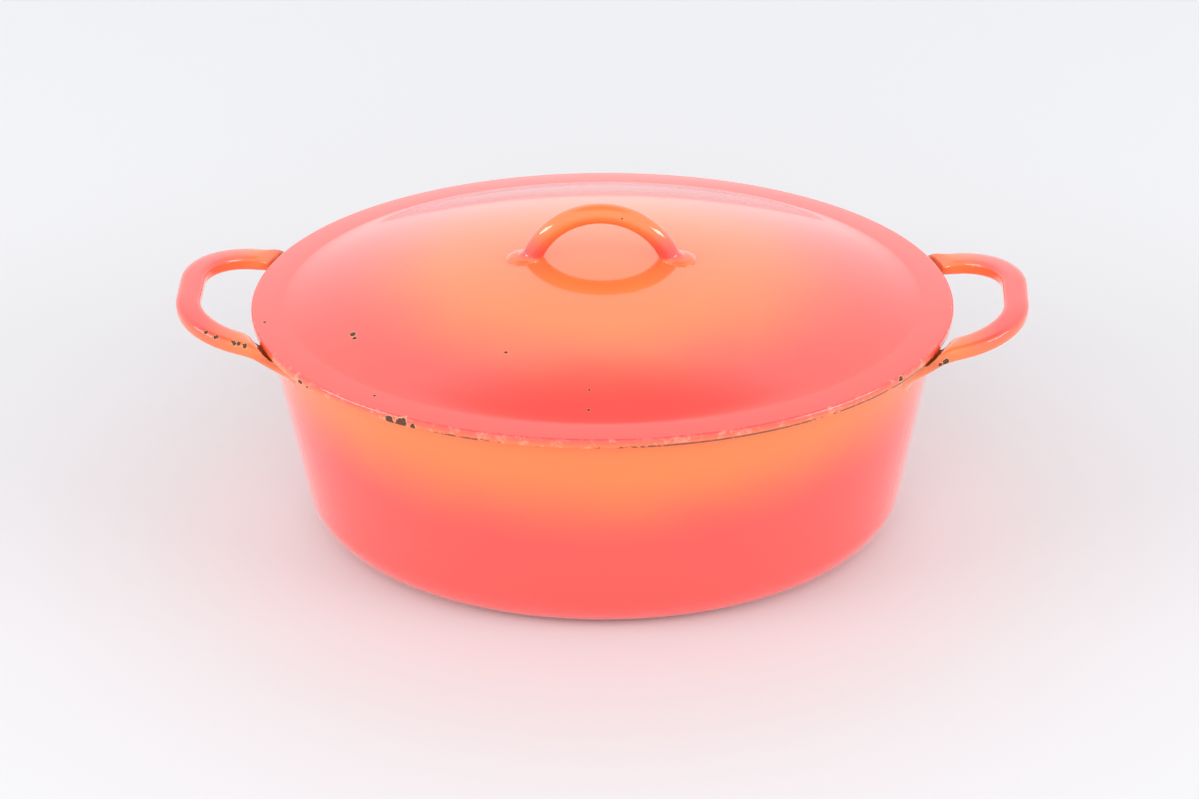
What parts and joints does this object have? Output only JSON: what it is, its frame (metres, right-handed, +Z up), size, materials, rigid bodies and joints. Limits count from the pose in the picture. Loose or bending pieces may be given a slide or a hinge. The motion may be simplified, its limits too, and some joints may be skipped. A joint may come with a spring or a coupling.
{
  "type": "oval dutch oven",
  "caption": "Oval enamelled cast iron dutch oven with loop side handles and a domed lift-off lid with an arch handle.",
  "frame": {"origin": "middle of the foot ring, on the surface that the pot stands on", "axes": "+Z up, X along the length of the oval through both loop handles, Y across its width"},
  "size_m": [0.3592, 0.233, 0.1512],
  "materials": {
    "cast_iron": "dark ground coat, satin",
    "flame_enamel": "gloss vitreous enamel, orange shading to red",
    "cream_enamel": "gloss vitreous enamel",
    "flame_coated_iron": "gloss vitreous enamel over cast iron",
    "cream_coated_iron": "gloss vitreous enamel over cast iron"
  },
  "bodies": {
    "pot": {"pot_casting": "cast_iron", "pot_outer_enamel": "flame_enamel", "pot_lining": "cream_enamel", "left_handle": "flame_coated_iron", "right_handle": "flame_coated_iron"},
    "lid": {"lid_casting": "cast_iron", "lid_outer_enamel": "flame_enamel", "lid_lining": "cream_enamel", "lid_locating_ring": "cream_coated_iron", "lid_handle": "flame_coated_iron"}
  },
  "joints": [
    {"name": "lid_lift", "type": "slide", "parent": "pot", "child": "lid", "axis": [0, 0, 1], "range_m": [0, 0.12]}
  ]
}
